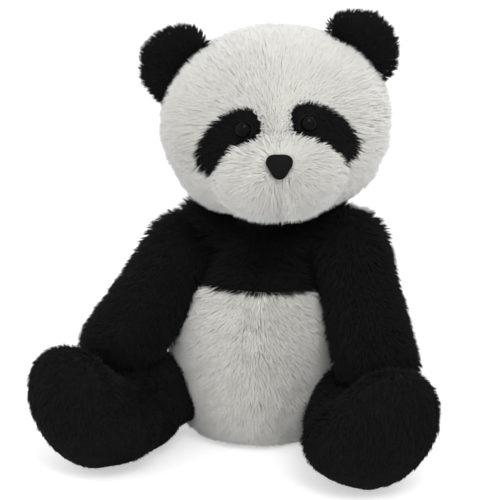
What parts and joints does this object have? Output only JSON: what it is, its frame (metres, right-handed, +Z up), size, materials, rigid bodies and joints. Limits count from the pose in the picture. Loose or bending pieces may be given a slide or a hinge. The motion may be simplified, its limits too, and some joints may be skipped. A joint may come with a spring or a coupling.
{
  "type": "plush panda",
  "caption": "Seated plush panda in long-pile fur fabric over fibre stuffing, with a soft neck, foldable ears and floppy limbs.",
  "frame": {"origin": "middle of the flat seat, on the surface the toy sits on", "axes": "+Z up, the body faces -Y, the toy's left side is +X"},
  "size_m": [0.2835, 0.2429, 0.3065],
  "materials": {
    "white_fur": "long-pile fur fabric",
    "black_fur": "long-pile fur fabric",
    "fibre": "loose polyester fibre",
    "bag_cloth": "plain woven cloth filled with plastic pellets",
    "eye_plastic": "polished black",
    "nose_plastic": "soft matt black",
    "washer_nylon": "natural nylon"
  },
  "bodies": {
    "torso": {"yoke_front_panel": "black_fur", "yoke_back_panel": "black_fur", "belly_panel": "white_fur", "lower_back_panel": "white_fur", "seat_panel": "white_fur", "torso_stuffing": "fibre", "pellet_bag": "bag_cloth", "tail_panel": "white_fur", "tail_stuffing": "fibre"},
    "neck": {"neck_stuffing": "fibre"},
    "head": {"face_panel": "white_fur", "head_back_panel": "white_fur", "muzzle_panel": "white_fur", "left_eye_patch": "black_fur", "right_eye_patch": "black_fur", "left_eye": "eye_plastic", "right_eye": "eye_plastic", "left_eye_washer": "washer_nylon", "right_eye_washer": "washer_nylon", "nose": "nose_plastic", "nose_washer": "washer_nylon", "head_stuffing": "fibre"},
    "left_ear": {"left_ear_front": "black_fur", "left_ear_back": "black_fur"},
    "right_ear": {"right_ear_front": "black_fur", "right_ear_back": "black_fur"},
    "left_arm": {"left_arm_outer_panel": "black_fur", "left_arm_inner_panel": "black_fur", "left_arm_stuffing": "fibre"},
    "right_arm": {"right_arm_outer_panel": "black_fur", "right_arm_inner_panel": "black_fur", "right_arm_stuffing": "fibre"},
    "left_leg": {"left_leg_panel": "black_fur", "left_foot_panel": "black_fur", "left_sole_panel": "black_fur", "left_leg_stuffing": "fibre"},
    "right_leg": {"right_leg_panel": "black_fur", "right_foot_panel": "black_fur", "right_sole_panel": "black_fur", "right_leg_stuffing": "fibre"}
  },
  "joints": [
    {"name": "head_turn", "type": "hinge", "parent": "torso", "child": "neck", "pos_m": [0.00678, 0, 0.1555], "axis": [0, 0, 1], "range_deg": [-38, 12], "stiffness_Nm_per_rad": 0.6},
    {"name": "head_nod", "type": "hinge", "parent": "neck", "child": "head", "pos_m": [0.00678, 0, 0.1555], "axis": [0.9744, 0.225, 0], "range_deg": [-10, 8], "stiffness_Nm_per_rad": 1.2},
    {"name": "left_ear_fold", "type": "hinge", "parent": "head", "child": "left_ear", "pos_m": [0.06315, 0.00629, 0.27498], "axis": [-0.6392, -0.1476, 0.7547], "range_deg": [-18, 18], "stiffness_Nm_per_rad": 0.05},
    {"name": "right_ear_fold", "type": "hinge", "parent": "head", "child": "right_ear", "pos_m": [-0.05052, -0.01996, 0.26477], "axis": [0.5018, 0.1159, 0.8572], "range_deg": [-18, 18], "stiffness_Nm_per_rad": 0.05},
    {"name": "left_arm_raise", "type": "hinge", "parent": "torso", "child": "left_arm", "pos_m": [0.06616, -0.014, 0.14], "axis": [-0.9063, -0.4226, 0], "range_deg": [0, 70]},
    {"name": "right_arm_raise", "type": "hinge", "parent": "torso", "child": "right_arm", "pos_m": [-0.05429, -0.014, 0.132], "axis": [-0.9063, 0.4226, 0], "range_deg": [0, 70]},
    {"name": "left_leg_drop", "type": "hinge", "parent": "torso", "child": "left_leg", "pos_m": [0.04619, -0.03779, 0.0264], "axis": [0.7986, 0.6018, 0], "range_deg": [0, 25]},
    {"name": "right_leg_drop", "type": "hinge", "parent": "torso", "child": "right_leg", "pos_m": [-0.04388, -0.03779, 0.0264], "axis": [0.7986, -0.6018, 0], "range_deg": [0, 25]}
  ]
}
